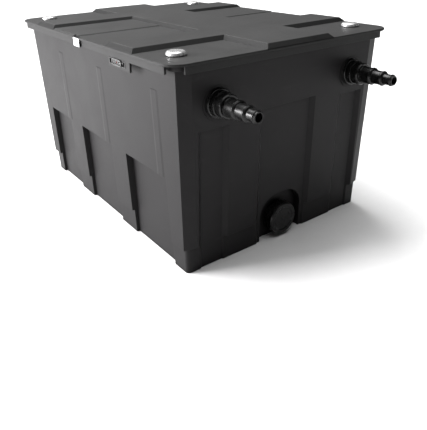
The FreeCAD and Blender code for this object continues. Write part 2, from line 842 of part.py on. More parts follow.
def thermometer():
    """Thermometer in the skirt tab: case in the window, oval bezel, dial and lens outside it."""
    middle_y = "-(sizes.window_start + sizes.window_end) / 2"
    middle_z = "(sizes.window_bottom + sizes.window_height / 2)"
    face = "(sizes.lid_half_width - sizes.lid_lip_reach)"
    play = "0.1"

    case = new_body()
    sketch = sketch_in(case, "YZ_Plane", f"-{face} - 0.6")
    rectangle(sketch, f"(sizes.window_end - sizes.window_start) / 2 - {play}",
              f"sizes.window_height / 2 - {play}", middle_y, middle_z)
    pad(case, sketch, "5.4")
    pocket_sketch = sketch_in(case, "YZ_Plane", f"-{face} - 0.6")
    rectangle(pocket_sketch, "(sizes.window_end - sizes.window_start) / 2 - 2",
              "sizes.window_height / 2 - 1.6", middle_y, middle_z)
    pocket(case, pocket_sketch, "2.2", up=True)
    node(case, "thermometer_case")

    def oval(half_length, half_height, start, thickness, hole=None):
        body = new_body()
        plan = sketch_in(body, "YZ_Plane", start)
        slot(plan, half_length, half_height, middle_y, middle_z)
        if hole:
            slot(plan, hole[0], hole[1], middle_y, middle_z)
        pad(body, plan, thickness)
        return body

    node(oval("20", "6.9", f"-{face} - 2.4", "1.7", ("17", "4.4")), "thermometer_bezel")
    node(oval("16.8", "4.2", f"-{face} + 1.0", "0.5"), "thermometer_dial")
    node(oval("16.8", "4.2", f"-{face} - 2.2", "1.2"), "thermometer_lens")


# ---------------------------------------------------------------- fittings

def hexagon(sketch, radius):
    outline(sketch, [(f"{radius} * cos({60 * i})", f"{radius} * sin({60 * i})") for i in range(6)])


def lock_nut(radius, bore, bottom, height):
    body = new_body()
    sketch = sketch_in(body, offset=bottom)
    hexagon(sketch, radius)
    circle(sketch, bore)
    pad(body, sketch, height)
    return body


def flat_ring(outer, inner, bottom, height):
    body = new_body()
    sketch = sketch_in(body, offset=bottom)
    circle(sketch, outer)
    circle(sketch, inner)
    pad(body, sketch, height)
    return body


def grooves_around(body, radius, depth, bottom, height, count):
    """Round grip grooves cut into the outside of a turned piece."""
    sketch = sketch_in(body, offset=bottom)
    circle(sketch, f"2 * {depth}", f"{radius} + {depth}", "0")
    first = pocket(body, sketch, height, up=True)
    pattern = body.newObject("PartDesign::PolarPattern", "pattern")
    pattern.Originals = [first]
    pattern.Axis = (sketch, ["N_Axis"])
    pattern.Angle = 360
    pattern.Occurrences = count
    body.Tip = pattern
    doc.recompute()


def sphere(radius, x, y, z):
    ball = doc.addObject("Part::Sphere", "sphere")
    bind(ball, Radius=radius)
    place(ball, x, y, z)
    return ball


def elbow(radius, start, reach, drop):
    """Solid right-angle bend: out along -Z to reach, then down along -Y."""
    return fuse([
        cylinder(radius, f"{reach} - {start}", "0", "0", f"-({reach})"),
        sphere(radius, "0", "0", f"-({reach})"),
        cylinder(radius, drop, "0", "0", f"-({reach})", *OUTWARD_FRONT),
    ])


def tail_steps():
    """Outline of the three hose steps: each rises to a ridge, then falls back to the next step."""
    points = []
    for index in (1, 2, 3):
        radius = f"sizes.tail_step_{index}"
        start = "sizes.tail_body_end" if index == 1 else f"sizes.tail_end_{index - 1}"
        crest = f"sizes.tail_end_{index} - 2.5 - sizes.tail_ridge_length"
        points += [
            (radius, f"{start} + 0.8"),
            (radius, f"{crest} - 2"),
            (f"{radius} + sizes.tail_ridge", crest),
            (f"{radius} + sizes.tail_ridge", f"{crest} + sizes.tail_ridge_length"),
            (f"{radius} - 0.8", f"sizes.tail_end_{index}"),
        ]
    return points


def inlet(name, side):
    """One hose inlet: everything stands on an axis that points out of the front wall."""
    def seat(target, label):
        place(target, f"{side} * sizes.inlet_offset", "-sizes.inlet_face", "sizes.inlet_height",
              *OUTWARD_FRONT)
        node(target, f"{label}_{name}")

    seal = "sizes.seal_thickness"
    face = f"({seal} + sizes.flange_thickness)"
    tube = "sizes.inlet_bore_radius - 0.2"
    mouth = "sizes.tail_mouth_radius"
    collar = "sizes.spigot_radius - 0.3"
    seat(flat_ring("sizes.inlet_flange_radius - 1", "sizes.inlet_bore_radius", "0", seal), "inlet_gasket")

    flange = turned([
        (mouth, "-28"), (tube, "-28"), (tube, seal), ("sizes.inlet_flange_radius", seal),
        ("sizes.inlet_flange_radius", face), ("sizes.spigot_radius", face),
        ("sizes.spigot_radius", "sizes.spigot_end"), (mouth, "sizes.spigot_end"),
    ])
    doc.recompute()
    rim_radius = value("sizes.inlet_flange_radius")
    face_height = value(face)
    names = edge_names(flange.Shape, lambda edge: abs(edge.BoundBox.XMax - rim_radius) < 0.01
                       and abs(edge.BoundBox.ZMin - face_height) < 0.01)
    fillet(flange, flange.Tip, names, "2.4")
    seat(flange, "inlet_flange")

    seat(lock_nut("30", tube, "-17", "8"), "inlet_locknut")
    seat(flat_ring("20", "15", "sizes.spigot_end", "1.8"), "inlet_seal")

    nut_bore = "sizes.spigot_radius + 0.1"
    neck_bore = "sizes.tail_body_radius + 0.3"
    waist = "sizes.nut_waist_radius"
    nut = turned([
        (nut_bore, f"{face} + 0.3"), ("sizes.nut_radius - 0.8", f"{face} + 0.3"),
        ("sizes.nut_radius", f"{face} + 1.1"), ("sizes.nut_radius", "sizes.nut_shoulder - 0.6"),
        ("sizes.nut_radius - 0.6", "sizes.nut_shoulder"), (waist, "sizes.nut_shoulder + 0.4"),
        (waist, "sizes.nut_end - 2.5"), ("sizes.nut_nose_radius", "sizes.nut_end"),
        (neck_bore, "sizes.nut_end"), (neck_bore, "19.5"), (nut_bore, "19.5"),
    ])
    doc.recompute()
    grooves_around(nut, "sizes.nut_radius", "0.7", face, "sizes.nut_shoulder - 7", 20)
    seat(nut, "union_nut")

    tip_radius = "sizes.tail_step_3 - 1.4"
    tip_end = "sizes.tail_end_3 + 2"
    tail = turned([
        (mouth, "16.8"), (collar, "16.8"), (collar, "19.3"),
        ("sizes.tail_body_radius", "19.3"), ("sizes.tail_body_radius", "sizes.tail_body_end"),
    ] + tail_steps() + [
        (tip_radius, tip_end), ("sizes.tail_bore_radius", tip_end), ("sizes.tail_bore_radius", "58"),
        ("12.4", "50"), (mouth, "42"),
    ])
    seat(tail, "hose_tail")

    bend = cut(elbow("24.5", "18", "52", "54"), elbow(tube, "0", "52", "60"))
    seat(bend, "inlet_elbow")


def drain():
    face = f"({wall_at('tub_half_length', '0')} - sizes.base_inset - sizes.arch_depth)"

    def seat(target, label):
        place(target, "0", f"-{face}", "sizes.drain_height", *OUTWARD_FRONT)
        node(target, label)

    tube = "sizes.drain_bore_radius - 0.2"
    seat(flat_ring("33", "sizes.drain_bore_radius", "0", "2"), "drain_gasket")
    seat(turned([
        ("22", "-22"), (tube, "-22"), (tube, "2"), ("34", "2"), ("34", "6"), ("31", "6"),
        ("31", "21.5"), ("30.2", "22"), ("22", "22"),
    ]), "drain_stub")
    seat(lock_nut("36", tube, "-13", "8"), "drain_locknut")
    seat(flat_ring("30", "22.5", "22.2", "1.6"), "drain_seal")

    cap = turned([
        ("31.1", "7"), ("sizes.drain_cap_radius - 0.6", "7"), ("sizes.drain_cap_radius", "7.6"),
        ("sizes.drain_cap_radius", "25.5"), ("sizes.drain_cap_radius - 3", "28.5"),
        ("28", "28.5"), ("26", "27"), ("0", "27"), ("0", "24"), ("31.1", "24"),
    ])
    doc.recompute()
    grooves_around(cap, "sizes.drain_cap_radius", "0.9", "6", "20", 28)
    seat(cap, "drain_cap")


def outlet():
    def seat(target, label):
        place(target, "0", "sizes.outlet_face", "sizes.outlet_height", *OUTWARD_REAR)
        node(target, label)

    tube = "sizes.outlet_bore_radius - 0.2"
    seal = "sizes.seal_thickness"
    flange = "sizes.outlet_boss_radius - 4"
    pipe = "sizes.outlet_pipe_radius"
    seat(flat_ring("sizes.outlet_boss_radius - 5", "sizes.outlet_bore_radius", "0", seal),
         "outlet_gasket")
    spout = turned([
        ("33", "-30"), (tube, "-30"), (tube, seal), (flange, seal), (flange, "8"),
        (f"{flange} - 2", "10"), (pipe, "10"), (pipe, "71"), (f"{pipe} - 1", "72"), ("33", "72"),
    ])
    seat(spout, "outlet_spout")
    seat(lock_nut("47", tube, "-19", "9"), "outlet_locknut")

    riser_y = "(sizes.outlet_face - sizes.riser_setback)"
    bend = "sizes.riser_bend_radius"
    bottom = "sizes.riser_bottom"
    sheet = "sizes.riser_sheet"
    outer = [
        cylinder(bend, "sizes.riser_setback - 17", "0", "sizes.outlet_face - 20",
                 "sizes.outlet_height", *OUTWARD_FRONT),
        sphere(bend, "0", riser_y, "sizes.outlet_height"),
        cylinder("sizes.riser_radius", f"sizes.outlet_height - {bottom}", "0", riser_y, bottom),
    ]
    inner = [
        cylinder(tube, "sizes.riser_setback + 15", "0", "sizes.outlet_face + 5",
                 "sizes.outlet_height", *OUTWARD_FRONT),
        sphere(f"{bend} - 4", "0", riser_y, "sizes.outlet_height"),
        cylinder(f"sizes.riser_radius - {sheet}", f"sizes.outlet_height - {bottom} - 6", "0", riser_y,
                 f"{bottom} + 6"),
    ]
    slots = [
        box("90", "5", "60", "-45", f"{riser_y} + {12 * i} - 2.5", "90") for i in (-2, -1, 0, 1, 2)
    ]
    node(cut(fuse(outer), fuse(inner + slots)), "outlet_riser")


# ---------------------------------------------------------------- inner parts

def partition(label, y, bottom, top, underflow):
    """Upright dividing wall that follows the sloping long walls."""
    body = new_body()
    sketch = sketch_in(body, "XZ_Plane", f"-({y}) - sizes.partition_thickness / 2")
    play = "1.5"
    knee = "(sizes.base_height + 7)"

    def half(height, inset):
        return f"({wall_at('tub_half_width', height)} - sizes.tub_wall - {inset} - {play})"

    if underflow:
        right = [(half(bottom, "0"), bottom), (half(top, "0"), top)]
    else:
        right = [(half(bottom, "sizes.base_inset"), bottom), (half(bottom, "sizes.base_inset"), knee),
                 (half(knee, "0"), knee), (half(top, "0"), top)]
    outline(sketch, right + [(f"-{x}", z) for x, z in reversed(right)])
    pad(body, sketch, "sizes.partition_thickness")
    slots = sketch_in(body, "XZ_Plane", f"-({y}) - sizes.partition_thickness / 2")
    for i in range(-3, 4):
        rectangle(slots, "22", "9", x=str(60 * i), y=f"{top} - 26")
    pocket(body, slots, "sizes.partition_thickness", up=True)
    node(body, label)


def foam_grid():
    body = new_body()
    sketch = sketch_in(body, offset="sizes.grid_height")
    rectangle(sketch, "sizes.grid_half_x", "sizes.partition_y - 6")
    pad(body, sketch, "sizes.grid_thickness")
    slots = sketch_in(body, offset="sizes.grid_height")
    for row in (-1, 1):
        rectangle(slots, "sizes.slot_half", "sizes.slot_reach", x="-sizes.slot_span / 2",
                  y=f"{row} * sizes.partition_y * 0.46")
    first = pocket(body, slots, "sizes.grid_thickness", up=True)
    pattern = body.newObject("PartDesign::LinearPattern", "pattern")
    pattern.Originals = [first]
    pattern.Direction = (slots, ["H_Axis"])
    bind(pattern, Length="sizes.slot_span")
    pattern.Occurrences = 19
    body.Tip = pattern
    legs = [
        cylinder("9", "sizes.grid_height - sizes.tub_floor + 1", f"{x} * (sizes.grid_half_x - 9)",
                 f"{y} * (sizes.partition_y - 16)", "sizes.tub_floor")
        for x in (-1, 0, 1) for y in (-1, 1)
    ]
    node(fuse([body] + legs), "foam_grid")


def foams():
    number = 0
    base = f"(sizes.grid_height + sizes.grid_thickness + {PLAY})"
    for row in (-1, 1):
        for column in (-1, 1):
            number += 1
            x = f"{column} * sizes.foam_pitch_x / 2"
            y = f"{row} * sizes.foam_pitch_y / 2"
            foam = new_body()
            sketch = sketch_in(foam)
            rectangle(sketch, "sizes.foam_width / 2", "sizes.foam_depth / 2")
            circle(sketch, f"sizes.rod_radius + {PLAY}")
            pad(foam, sketch, "sizes.foam_height")
            doc.recompute()
            fillet(foam, foam.Tip, edge_names(foam.Shape, steep_corner), "sizes.foam_corner")
            place(foam, x, y, f"{base} + sizes.carrier_plate + {PLAY}")
            node(foam, f"foam_{number}")

            plate = box("2 * sizes.carrier_half_x", "2 * sizes.carrier_half_y", "sizes.carrier_plate",
                        "-sizes.carrier_half_x", "-sizes.carrier_half_y", "0")
            rod = cylinder("sizes.rod_radius", "sizes.rod_length", "0", "0", "0")
            loop = box("2 * sizes.loop_half", "sizes.loop_thickness", "sizes.loop_height",
                       "-sizes.loop_half", "-sizes.loop_thickness / 2", "sizes.rod_length - 1")
            loop = part_fillet(loop, runs_across, "sizes.loop_corner")
            window = box("2 * sizes.finger_half", "sizes.loop_thickness + 6", "sizes.finger_height",
                         "-sizes.finger_half", "-sizes.loop_thickness / 2 - 3",
                         "sizes.rod_length + sizes.finger_start")
            window = part_fillet(window, runs_across, "sizes.finger_height / 2 - 0.5")
            washer = cylinder("sizes.washer_radius", "sizes.washer_height", "0", "0",
                              f"sizes.carrier_plate + sizes.foam_height + 2 * {PLAY}")
            carrier = cut(fuse([plate, rod, loop, washer]), window)
            place(carrier, x, y, base)
            node(carrier, f"foam_carrier_{number}")


def runs_across(edge):
    """True for an edge that runs through a pull loop from face to face."""
    return edge.BoundBox.YLength > 10


def steep_corner(edge):
    """True for an upright straight edge away from the axis of its piece."""
    return steep(edge) and abs(edge.Vertexes[0].Point.x) > value("sizes.foam_width / 2") - 1


def media():
    """Basket of filter media in the rear chamber."""
    half_x = "sizes.basket_half_x"
    y = "sizes.basket_y"
    half_y = "sizes.basket_half_y"
    bottom = "sizes.basket_bottom"
    sheet = "sizes.basket_sheet"
    outer = box(f"2 * {half_x}", f"2 * {half_y}", "sizes.basket_height", f"-{half_x}",
                f"{y} - {half_y}", bottom)
    outer = part_fillet(outer, steep, "sizes.basket_corner")
    inner = box(f"2 * ({half_x} - {sheet})", f"2 * ({half_y} - {sheet})", "sizes.basket_height",
                f"-({half_x} - {sheet})", f"{y} - {half_y} + {sheet}", f"{bottom} + {sheet}")
    inner = part_fillet(inner, steep, "sizes.basket_corner - 3")
    windows = []
    for i in range(-8, 9):
        start = f"{i} * sizes.window_pitch - sizes.window_width / 2"
        windows.append(box("sizes.window_width", f"2 * ({half_y} - sizes.window_margin)",
                           "sizes.window_floor", start, f"{y} - {half_y} + sizes.window_margin",
                           f"{bottom} - 2"))
        for level in range(4):
            windows.append(box("sizes.window_width", f"2 * ({half_y} + 2)", "sizes.window_tall", start,
                               f"{y} - {half_y} - 2",
                               f"{bottom} + sizes.window_sill + {level} * sizes.window_rise"))
    leg = "sizes.basket_leg"
    legs = [
        box(leg, leg, f"sizes.basket_bottom - sizes.tub_floor - {PLAY}",
            f"{side} * ({half_x} - sizes.basket_leg_inset) - {leg} / 2",
            f"{y} + {end} * ({half_y} - sizes.basket_leg_inset) - {leg} / 2",
            f"sizes.tub_floor + {PLAY}")
        for side in (-1, 1) for end in (-1, 1)
    ]
    node(fuse([cut(cut(outer, inner), fuse(windows))] + legs), "media_basket")

    for index, name in enumerate(("lower", "upper")):
        mat = box(f"2 * ({half_x} - {sheet}) - 4", f"2 * ({half_y} - {sheet}) - 4",
                  "sizes.mat_height - 0.4", f"-({half_x} - {sheet}) + 2",
                  f"{y} - {half_y} + {sheet} + 2",
                  f"{bottom} + {sheet} + 0.2 + {index} * sizes.mat_height")
        node(part_fillet(mat, steep, "sizes.basket_corner"), f"filter_mat_{name}")

    balls = []
    for layer in range(2):
        for row in (-1, 0, 1):
            for i in range(-4, 5):
                balls.append(sphere(
                    "sizes.ball_radius", f"{i} * sizes.ball_pitch_x",
                    f"{y} + {row} * (2 * sizes.ball_radius + 1)",
                    f"{bottom} + {sheet} + 2 * sizes.mat_height + (1 + 2 * {layer})"
                    f" * (sizes.ball_radius + 0.4)"))
    node(group(balls), "bio_balls")


# ---------------------------------------------------------------- build, check and export

def build():
    tub()
    lid()
    lid_gasket()
    lid_fasteners()
    clips()
    thermometer()
    for name, side in SIDES:
        inlet(name, side)
    drain()
    outlet()
    partition("partition_front", "-sizes.partition_y", "70", "392", True)
    partition("partition_rear", "sizes.partition_y", "sizes.tub_floor + 0.5", "335", False)
    foam_grid()
    foams()
    media()
    doc.recompute()


def check():
    """Stop if any object failed or any sub-part is not a sound solid."""
    for item in doc.Objects:
        if "Invalid" in item.State or "Error" in item.State:
            raise RuntimeError(f"{item.Name} ({item.Label}) failed: {item.State}")
    labels = [item.Label for item in nodes]
    if len(set(labels)) != len(labels) or len(labels) > 60:
        raise RuntimeError("sub-part names repeat, or there are more than 60")
    for item in nodes:
        shape = item.Shape
        if shape.isNull() or not shape.isValid() or not shape.Solids:
            raise RuntimeError(f"{item.Label} has no valid solid")


def export():
    os.makedirs("parts", exist_ok=True)
    for item in nodes:
        item.Shape.exportStep(f"parts/{item.Label}.step")
        print(f"{item.Label}: {len(item.Shape.Solids)} solid, {item.Shape.Volume / 1000:.1f} cm3")


build()
check()
export()
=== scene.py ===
import json
import math
import random

import bmesh
import bpy
from mathutils import Matrix, Vector, noise


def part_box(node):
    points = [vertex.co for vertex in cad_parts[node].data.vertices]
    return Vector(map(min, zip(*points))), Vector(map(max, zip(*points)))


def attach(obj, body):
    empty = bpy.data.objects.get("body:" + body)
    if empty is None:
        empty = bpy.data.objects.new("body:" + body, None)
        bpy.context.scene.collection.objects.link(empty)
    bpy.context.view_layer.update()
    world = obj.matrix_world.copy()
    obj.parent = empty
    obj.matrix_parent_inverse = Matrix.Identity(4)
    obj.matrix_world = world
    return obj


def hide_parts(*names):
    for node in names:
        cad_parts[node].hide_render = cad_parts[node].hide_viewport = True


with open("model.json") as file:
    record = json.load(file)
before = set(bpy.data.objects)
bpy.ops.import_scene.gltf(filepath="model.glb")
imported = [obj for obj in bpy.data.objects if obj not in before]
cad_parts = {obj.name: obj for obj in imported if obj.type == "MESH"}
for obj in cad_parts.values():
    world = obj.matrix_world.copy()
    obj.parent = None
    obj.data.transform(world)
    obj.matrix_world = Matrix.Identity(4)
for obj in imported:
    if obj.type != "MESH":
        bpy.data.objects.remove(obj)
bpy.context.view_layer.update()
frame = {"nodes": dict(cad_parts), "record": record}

# Looks of a gravity-fed pond filter. Lengths are in metres, +Z is up and -Y is the inlet end.

MM = 0.001

# Camera: angles in degrees, lens in millimetres, shift as a share of the frame.
CAMERA_PLACE = (-0.7254, -1.1043, 0.6316)
CAMERA_YAW = 35.86
CAMERA_PITCH = 21.03
CAMERA_ROLL = -1.44
CAMERA_LENS = 43.50
CAMERA_SHIFT = -0.174

# Light: the soft box's power in watts; each sky light is (direction, strength, width in degrees).
KEY_PLACE = (-3.0, 1.6, 1.0)
KEY_TARGET = (0.0, 0.0, 0.2)
KEY_WIDTH = 1.8
KEY_HEIGHT = 1.4
KEY_POWER = 380
KEY_TINT = (1.0, 0.99, 1.0)
SKY_BACK = ((-0.08, 0.50, 0.85), 4.2, 46)
SKY_TOP = ((-0.05, 0.10, 1.0), 2.2, 70)
SURROUND_LIGHT = 0.05

FLOOR_HALF = 14.0
FLOOR_DROP = 0.5 * MM

# Foam and mat: a skin is a list of pairs (noise cells per metre, share of the noise).
FOAM_PORE = 2.6 * MM
FOAM_CORNER = 9 * MM
FOAM_ROUND = 5 * MM
FOAM_GAP = 0.3 * MM
FOAM_HOLE = 6.3 * MM
FOAM_STEP = 5 * MM
FOAM_LEVELS = 40
FOAM_RINGS = 9
FOAM_SKIN = ((60, 0.5), (240, 0.3))
FOAM_SINK = 0.6 * MM
FOAM_UNEVEN = 0.8 * MM
ROUND_STEPS = 3

MAT_CORNER = 10 * MM
MAT_RINGS = 16
MAT_LEVELS = 6
MAT_SKIN = ((210, 1.0), (520, 0.6))
MAT_SINK = 0.8 * MM
MAT_UNEVEN = 1.1 * MM

# Bio balls: each ring is (height, reach), as shares of the radius.
BALL_RADIUS = 20.5 * MM
BALL_PLAY = 0.4 * MM
BALL_LAYERS = 2
BALL_ROWS = 3
BALL_COLUMNS = 9
BALL_FINS = 8
BALL_SHEET = 1.3 * MM
BALL_CORE = 0.2
FIN_STEPS = 10
BALL_RINGS = ((0.0, 1.0), (0.55, 0.80), (-0.55, 0.80))
RING_INNER = 0.55
RING_POINTS = 20

# Thermometer print: the needle's foot and tip are (sideways, up) from the middle of the base line.
TICKS = 20
TICK_EVERY = 5
TICK_LONG = 3.4 * MM
TICK_SHORT = 2.0 * MM
TICK_WIDTH = 0.35 * MM
BASE_RISE = 1.4 * MM
BASE_INSET = 3 * MM
BASE_WIDTH = 0.3 * MM
NEEDLE_FOOT = (3.2 * MM, -0.4 * MM)
NEEDLE_TIP = (4.6 * MM, 4.6 * MM)
NEEDLE_WIDTH = 0.7 * MM
PRINT_HEIGHT = 0.06 * MM
PRINT_DEPTH = 0.05 * MM

EDGE_ROUND = 1.2 * MM

random.seed(7)


# ---------------------------------------------------------------- node helpers

def feed(tree, socket, source):
    """Link another socket into a socket, or store a plain value on it."""
    if isinstance(source, bpy.types.NodeSocket):
        tree.links.new(source, socket)
    else:
        socket.default_value = source


def add(tree, kind, inputs=None, **settings):
    """Add a shader node, set its properties, and fill or link its inputs."""
    item = tree.nodes.new("ShaderNode" + kind)
    for name, setting in settings.items():
        setattr(item, name, setting)
    for name, source in (inputs or {}).items():
        feed(tree, item.inputs[name], source)
    return item


def grey(level, tint=(1.0, 1.0, 1.0)):
    """Neutral colour of a level, multiplied by a tint."""
    return (level * tint[0], level * tint[1], level * tint[2], 1.0)


def begin(name, **fixed):
    """New material with a principled shader whose uniform values are set on its own sockets."""
    material = bpy.data.materials.new(name)
    material.use_nodes = True
    tree = material.node_tree
    tree.nodes.clear()
    shader = add(tree, "BsdfPrincipled")
    output = add(tree, "OutputMaterial")
    tree.links.new(shader.outputs["BSDF"], output.inputs["Surface"])
    for key, setting in fixed.items():
        shader.inputs[key.replace("_", " ")].default_value = setting
    return material, tree, shader


def darker(colour, share):
    """A colour multiplied by a share."""
    return tuple(share * channel for channel in colour[:3]) + (1.0,)


def place_of(tree):
    """Each point's own place in metres, which moves with the piece."""
    return add(tree, "TexCoord").outputs["Object"]


def noise_of(tree, where, scale, detail=4.0, roughness=0.5, distortion=0.0):
    """Cloudy noise with a number of cells per metre."""
    texture = add(tree, "TexNoise", {"Vector": where, "Scale": scale, "Detail": detail,
                                     "Roughness": roughness, "Distortion": distortion})
    return texture.outputs["Fac"]


def cells_of(tree, where, scale):
    """Distance to the middle of the nearest cell, with a number of cells per metre."""
    return add(tree, "TexVoronoi", {"Vector": where, "Scale": scale}).outputs["Distance"]


def stretched(tree, where, x=1.0, y=1.0, z=1.0, turn=0.0):
    """A place scaled along each axis and turned about all three."""
    mapping = add(tree, "Mapping", {"Vector": where, "Scale": (x, y, z), "Rotation": (turn, turn, turn)})
    return mapping.outputs["Vector"]


def remap(tree, source, low, high, new_low, new_high):
    """A value moved from one range to another and kept inside it."""
    item = add(tree, "MapRange", {"Value": source, "From Min": low, "From Max": high,
                                  "To Min": new_low, "To Max": new_high})
    return item.outputs["Result"]


def math_of(tree, operation, first, second):
    """Sum, product or other operation on two values or sockets."""
    item = add(tree, "Math", operation=operation)
    for socket, source in zip(item.inputs, (first, second)):
        feed(tree, socket, source)
    return item.outputs["Value"]


def mixed(tree, factor, first, second):
    """Colour between two colours or colour sockets."""
    item = add(tree, "Mix", data_type="RGBA")
    # A Mix node's sockets share names, so its colour ones are picked by number.
    for number, source in ((0, factor), (6, first), (7, second)):
        feed(tree, item.inputs[number], source)
    return item.outputs[2]


def bumps(tree, shader, layers, edge=0.0):
    """Chain of bump nodes from pairs (height, depth in metres), over edges rounded by a radius."""
    normal = add(tree, "Bevel", {"Radius": edge}, samples=6).outputs["Normal"] if edge else None
    for height, depth in layers:
        inputs = {"Height": height, "Distance": depth, "Strength": 1.0}
        if normal is not None:
            inputs["Normal"] = normal
        normal = add(tree, "Bump", inputs).outputs["Normal"]
    tree.links.new(normal, shader.inputs["Normal"])


def facing_up(tree):
    """1 on level faces that look up, 0 on slopes, walls and undersides."""
    normal = add(tree, "NewGeometry").outputs["Normal"]
    height = add(tree, "SeparateXYZ", {"Vector": normal}).outputs["Z"]
    return remap(tree, height, 0.74, 0.98, 0.0, 1.0)


def in_corners(tree, reach):
    """1 deep in corners and grooves, 0 on open faces."""
    openness = add(tree, "AmbientOcclusion", {"Distance": reach}, samples=8).outputs["AO"]
    return remap(tree, openness, 0.45, 0.95, 1.0, 0.0)


# ---------------------------------------------------------------- materials

def moulded_plastic(name, dark, light, rough, grain, grain_depth, scuff=0.5, dust=0.2, specular=0.5,
                    lit_top_tone=None):
    """Injection-moulded plastic: fine grain, flow clouds, rubbed streaks, a little dust on top and painted
    shade in corners and grooves.

    Given a lit top tone, the faces that look up turn towards it in patches: painted light on the top.
    """
    material, tree, shader = begin(name, Specular_IOR_Level=specular)
    where = place_of(tree)
    clouds = noise_of(tree, where, 9, detail=5, roughness=0.6, distortion=0.4)
    fine = noise_of(tree, where, grain, detail=2)
    pits = cells_of(tree, where, grain * 0.6)
    streaks = noise_of(tree, stretched(tree, where, 1, 14, 3, turn=0.5), 22, detail=6, roughness=0.7)
    rubbed = remap(tree, streaks, 0.58, 0.75, 0.0, scuff)
    specks = remap(tree, noise_of(tree, where, 160, detail=3), 0.52, 0.72, 0.0, 1.0)
    settled = math_of(tree, "MULTIPLY", facing_up(tree), math_of(tree, "MULTIPLY", specks, dust))

    tone = mixed(tree, remap(tree, clouds, 0.3, 0.7, 0.0, 1.0), dark, light)
    if lit_top_tone:
        # Painted light: faces that look up are lightened towards the lit top tone, as light falls on the
        # top.
        top_light_patchiness = remap(tree, clouds, 0.3, 0.7, 0.82, 1.0)
        tone = mixed(tree, math_of(tree, "MULTIPLY", facing_up(tree), top_light_patchiness), tone, lit_top_tone)
    tone = mixed(tree, math_of(tree, "MULTIPLY", rubbed, 0.35), tone, grey(light[0] * 2.4))
    tone = mixed(tree, settled, tone, (0.23, 0.22, 0.20, 1.0))
    # Painted shade: corners and grooves are darkened in the colour, where shade falls in them.
    painted_corner_shade = math_of(tree, "MULTIPLY", in_corners(tree, 14 * MM), 0.75)
    tone = mixed(tree, painted_corner_shade, tone, grey(dark[0] * 0.15))
    tree.links.new(tone, shader.inputs["Base Color"])

    sheen = math_of(tree, "ADD", remap(tree, clouds, 0.3, 0.7, rough[0], rough[1]),
                    math_of(tree, "MULTIPLY", rubbed, -0.08))
    sheen = math_of(tree, "ADD", sheen, math_of(tree, "MULTIPLY", settled, 0.5))
    tree.links.new(sheen, shader.inputs["Roughness"])
    waves = noise_of(tree, where, 5, detail=2)
    bumps(tree, shader, [(waves, 1.2 * MM), (fine, grain_depth), (pits, grain_depth * 0.7)], EDGE_ROUND)
    return material


def glossy_plastic(name, dark, light, rough):
    """Hard polished plastic with faint orange peel, hairlines and handling marks."""
    material, tree, shader = begin(name, Specular_IOR_Level=0.24)
    where = place_of(tree)
    clouds = noise_of(tree, where, 26, detail=4, roughness=0.6)
    peel = noise_of(tree, where, 240, detail=2)
    hairlines = noise_of(tree, stretched(tree, where, 2, 30, 4, turn=0.9), 60, detail=7, roughness=0.75)
    marks = remap(tree, hairlines, 0.6, 0.72, 0.0, 1.0)
    tone = mixed(tree, remap(tree, clouds, 0.35, 0.7, 0.0, 1.0), dark, light)
    tone = mixed(tree, math_of(tree, "MULTIPLY", marks, 0.3), tone, grey(light[0] * 2.2))
    tree.links.new(tone, shader.inputs["Base Color"])
    sheen = math_of(tree, "ADD", remap(tree, clouds, 0.3, 0.75, rough[0], rough[1]),
                    math_of(tree, "MULTIPLY", marks, 0.12))
    tree.links.new(sheen, shader.inputs["Roughness"])
    bumps(tree, shader, [(peel, 0.05 * MM), (marks, -0.03 * MM)], EDGE_ROUND / 2)
    return material


def rubber(name):
    """Soft black rubber with a grey bloom."""
    material, tree, shader = begin(name, Specular_IOR_Level=0.35)
    where = place_of(tree)
    bloom = noise_of(tree, where, 45, detail=6, roughness=0.65)
    tone = mixed(tree, remap(tree, bloom, 0.35, 0.7, 0.0, 1.0), grey(0.012), grey(0.035))
    tree.links.new(tone, shader.inputs["Base Color"])
    tree.links.new(remap(tree, bloom, 0.3, 0.7, 0.62, 0.85), shader.inputs["Roughness"])
    bumps(tree, shader, [(noise_of(tree, where, 900, detail=2), 0.05 * MM)])
    return material


def metal(name, dark, light, rough, brushed, metallic=1.0):
    """Polished or machined metal with fine lines, smudges and small pits."""
    material, tree, shader = begin(name, Metallic=metallic)
    where = place_of(tree)
    smudges = noise_of(tree, where, 70, detail=4, roughness=0.6)
    lines = noise_of(tree, stretched(tree, where, 1, 1, 60), 90, detail=6, roughness=0.8)
    tone = mixed(tree, remap(tree, smudges, 0.35, 0.7, 0.0, 1.0), dark, light)
    tree.links.new(tone, shader.inputs["Base Color"])
    sheen = math_of(tree, "ADD", remap(tree, smudges, 0.3, 0.75, rough[0], rough[1]),
                    math_of(tree, "MULTIPLY", lines, brushed))
    tree.links.new(sheen, shader.inputs["Roughness"])
    bumps(tree, shader, [(lines, 0.02 * MM), (cells_of(tree, where, 700), 0.01 * MM)])
    return material


def clear_lens(name):
    """Thin lightly smoked acrylic that lets the dial show through."""
    material, tree, shader = begin(name, Alpha=0.22, IOR=1.46)
    where = place_of(tree)
    haze = noise_of(tree, where, 120, detail=5, roughness=0.7)
    tree.links.new(mixed(tree, haze, grey(0.015), grey(0.035)), shader.inputs["Base Color"])
    tree.links.new(remap(tree, haze, 0.45, 0.75, 0.03, 0.12), shader.inputs["Roughness"])
    bumps(tree, shader, [(haze, 0.02 * MM)])
    return material


def printed_dial(name):
    """Silvered card with the faint grain of screen printing."""
    material, tree, shader = begin(name, Metallic=0.1, Specular_IOR_Level=0.12)
    where = place_of(tree)
    grain = noise_of(tree, where, 1500, detail=3)
    clouds = noise_of(tree, where, 60, detail=4)
    tone = mixed(tree, remap(tree, grain, 0.3, 0.7, 0.0, 1.0), grey(0.045), grey(0.062))
    tone = mixed(tree, remap(tree, clouds, 0.55, 0.8, 0.0, 0.4), tone, (0.052, 0.050, 0.044, 1.0))
    tree.links.new(tone, shader.inputs["Base Color"])
    tree.links.new(remap(tree, grain, 0.2, 0.8, 0.34, 0.52), shader.inputs["Roughness"])
    bumps(tree, shader, [(grain, 0.02 * MM)])
    return material


